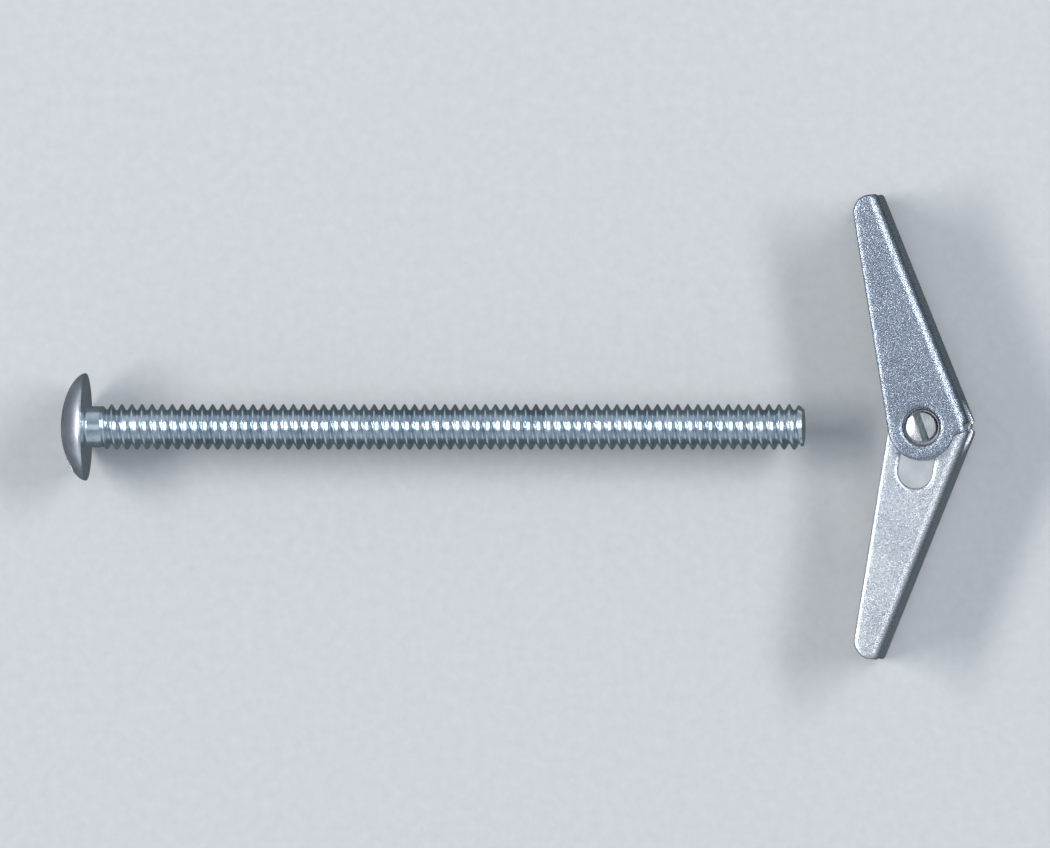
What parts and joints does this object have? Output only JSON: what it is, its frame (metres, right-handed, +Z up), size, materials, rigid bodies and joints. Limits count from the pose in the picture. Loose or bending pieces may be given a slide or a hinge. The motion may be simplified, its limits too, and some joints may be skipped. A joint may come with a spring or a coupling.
{
  "type": "spring toggle bolt",
  "caption": "Hollow-wall anchor: a mushroom-head machine screw drawn out of a sprung toggle nut with folding channel wings.",
  "frame": {"origin": "on the screw's axis, in the flat bearing face under its head", "axes": "+X along the screw from head to tip and on through the toggle, +Z up along the axis the wings turn about, wings spread along Y"},
  "size_m": [0.0955, 0.0486, 0.0112],
  "materials": {
    "screw_steel": "bright zinc plate, rolled thread",
    "nut_steel": "zinc plate, sheared pin ends",
    "spring_wire": "drawn spring wire",
    "upper_wing_steel": "zinc-plated pressed sheet, fine spangle",
    "lower_wing_steel": "zinc-plated pressed sheet, fine spangle"
  },
  "bodies": {
    "screw": {"machine_screw": "screw_steel"},
    "toggle_nut": {"trunnion_nut": "nut_steel", "torsion_spring": "spring_wire"},
    "upper_wing": {"upper_wing": "upper_wing_steel"},
    "lower_wing": {"lower_wing": "lower_wing_steel"}
  },
  "joints": [
    {"name": "toggle_travel", "type": "slide", "parent": "screw", "child": "toggle_nut", "axis": [-1, 0, 0], "range_m": [0, 0.062]},
    {"name": "upper_wing_fold", "type": "hinge", "parent": "toggle_nut", "child": "upper_wing", "pos_m": [0.0878, 0, 0], "axis": [0, 0, 1], "range_deg": [0, 71], "stiffness_Nm_per_rad": 0.012, "springref_deg": -45.84, "deforming": ["torsion_spring"]},
    {"name": "lower_wing_fold", "type": "hinge", "parent": "toggle_nut", "child": "lower_wing", "pos_m": [0.0878, 0, 0], "axis": [0, 0, -1], "range_deg": [0, 71], "stiffness_Nm_per_rad": 0.012, "springref_deg": -45.84, "deforming": ["torsion_spring"]}
  ]
}
